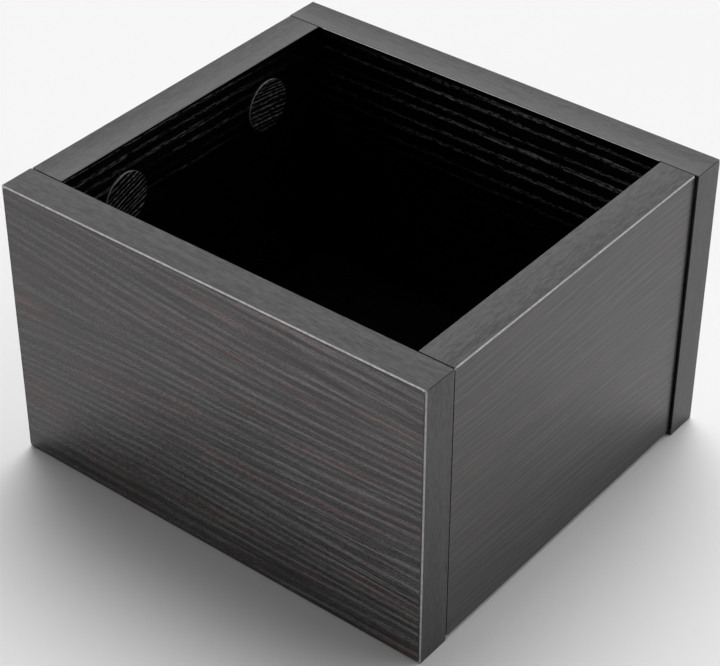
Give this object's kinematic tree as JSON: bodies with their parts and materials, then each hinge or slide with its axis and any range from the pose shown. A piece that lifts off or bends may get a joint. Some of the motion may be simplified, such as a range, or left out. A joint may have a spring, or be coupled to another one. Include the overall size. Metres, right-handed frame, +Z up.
{
  "type": "open-top wood-grain box",
  "caption": "Open-topped box of dark wood-grain boards with banded edges, joined by cam locks and dowels under round stick-on covers, with a thin bottom panel and no bar or lid.",
  "frame": {"origin": "on the ground, under the middle of the whole box", "axes": "+Z up, out of the open top; +X along the front board, to the right; the front board is on the -Y side"},
  "size_m": [0.2054, 0.188, 0.129],
  "materials": {
    "wood_grain_board": "satin espresso wood-grain melamine on particle board",
    "edge_band": "satin wood-grain edge band with a lighter trimmed arris",
    "bottom_panel": "thin hardboard with a dark foil",
    "cam_cover": "self-adhesive wood-grain foil",
    "cam_lock": "die-cast zinc alloy",
    "cam_bolt": "zinc-plated steel",
    "dowel": "fluted beech"
  },
  "bodies": {
    "box": {"front_board": "wood_grain_board", "back_board": "wood_grain_board", "left_side_board": "wood_grain_board", "right_side_board": "wood_grain_board", "front_board_top_band": "edge_band", "front_board_bottom_band": "edge_band", "front_board_left_end_band": "edge_band", "front_board_right_end_band": "edge_band", "back_board_top_band": "edge_band", "back_board_bottom_band": "edge_band", "back_board_left_end_band": "edge_band", "back_board_right_end_band": "edge_band", "left_side_board_top_band": "edge_band", "left_side_board_bottom_band": "edge_band", "right_side_board_top_band": "edge_band", "right_side_board_bottom_band": "edge_band", "bottom_panel": "bottom_panel", "cam_bolt_left_front_upper": "cam_bolt", "cam_bolt_left_front_lower": "cam_bolt", "cam_bolt_left_back_upper": "cam_bolt", "cam_bolt_left_back_lower": "cam_bolt", "cam_bolt_right_front_upper": "cam_bolt", "cam_bolt_right_front_lower": "cam_bolt", "cam_bolt_right_back_upper": "cam_bolt", "cam_bolt_right_back_lower": "cam_bolt", "cam_cover_left_front_upper": "cam_cover", "cam_cover_left_front_lower": "cam_cover", "cam_cover_left_back_upper": "cam_cover", "cam_cover_left_back_lower": "cam_cover", "cam_cover_right_front_upper": "cam_cover", "cam_cover_right_front_lower": "cam_cover", "cam_cover_right_back_upper": "cam_cover", "cam_cover_right_back_lower": "cam_cover", "dowel_left_front": "dowel", "dowel_left_back": "dowel", "dowel_right_front": "dowel", "dowel_right_back": "dowel"},
    "cam_left_front_upper": {"cam_lock_left_front_upper": "cam_lock"},
    "cam_left_front_lower": {"cam_lock_left_front_lower": "cam_lock"},
    "cam_left_back_upper": {"cam_lock_left_back_upper": "cam_lock"},
    "cam_left_back_lower": {"cam_lock_left_back_lower": "cam_lock"},
    "cam_right_front_upper": {"cam_lock_right_front_upper": "cam_lock"},
    "cam_right_front_lower": {"cam_lock_right_front_lower": "cam_lock"},
    "cam_right_back_upper": {"cam_lock_right_back_upper": "cam_lock"},
    "cam_right_back_lower": {"cam_lock_right_back_lower": "cam_lock"}
  },
  "joints": [
    {"name": "unlock_left_front_upper", "type": "hinge", "parent": "box", "child": "cam_left_front_upper", "pos_m": [-0.09465, -0.0437, 0.105], "axis": [1, 0, 0], "range_deg": [0, 180]},
    {"name": "unlock_left_front_lower", "type": "hinge", "parent": "box", "child": "cam_left_front_lower", "pos_m": [-0.09465, -0.0437, 0.0266], "axis": [1, 0, 0], "range_deg": [0, 180]},
    {"name": "unlock_left_back_upper", "type": "hinge", "parent": "box", "child": "cam_left_back_upper", "pos_m": [-0.09465, 0.0437, 0.105], "axis": [1, 0, 0], "range_deg": [0, 180]},
    {"name": "unlock_left_back_lower", "type": "hinge", "parent": "box", "child": "cam_left_back_lower", "pos_m": [-0.09465, 0.0437, 0.0266], "axis": [1, 0, 0], "range_deg": [0, 180]},
    {"name": "unlock_right_front_upper", "type": "hinge", "parent": "box", "child": "cam_right_front_upper", "pos_m": [0.09335, -0.0437, 0.105], "axis": [-1, 0, 0], "range_deg": [0, 180]},
    {"name": "unlock_right_front_lower", "type": "hinge", "parent": "box", "child": "cam_right_front_lower", "pos_m": [0.09335, -0.0437, 0.0266], "axis": [-1, 0, 0], "range_deg": [0, 180]},
    {"name": "unlock_right_back_upper", "type": "hinge", "parent": "box", "child": "cam_right_back_upper", "pos_m": [0.09335, 0.0437, 0.105], "axis": [-1, 0, 0], "range_deg": [0, 180]},
    {"name": "unlock_right_back_lower", "type": "hinge", "parent": "box", "child": "cam_right_back_lower", "pos_m": [0.09335, 0.0437, 0.0266], "axis": [-1, 0, 0], "range_deg": [0, 180]}
  ]
}
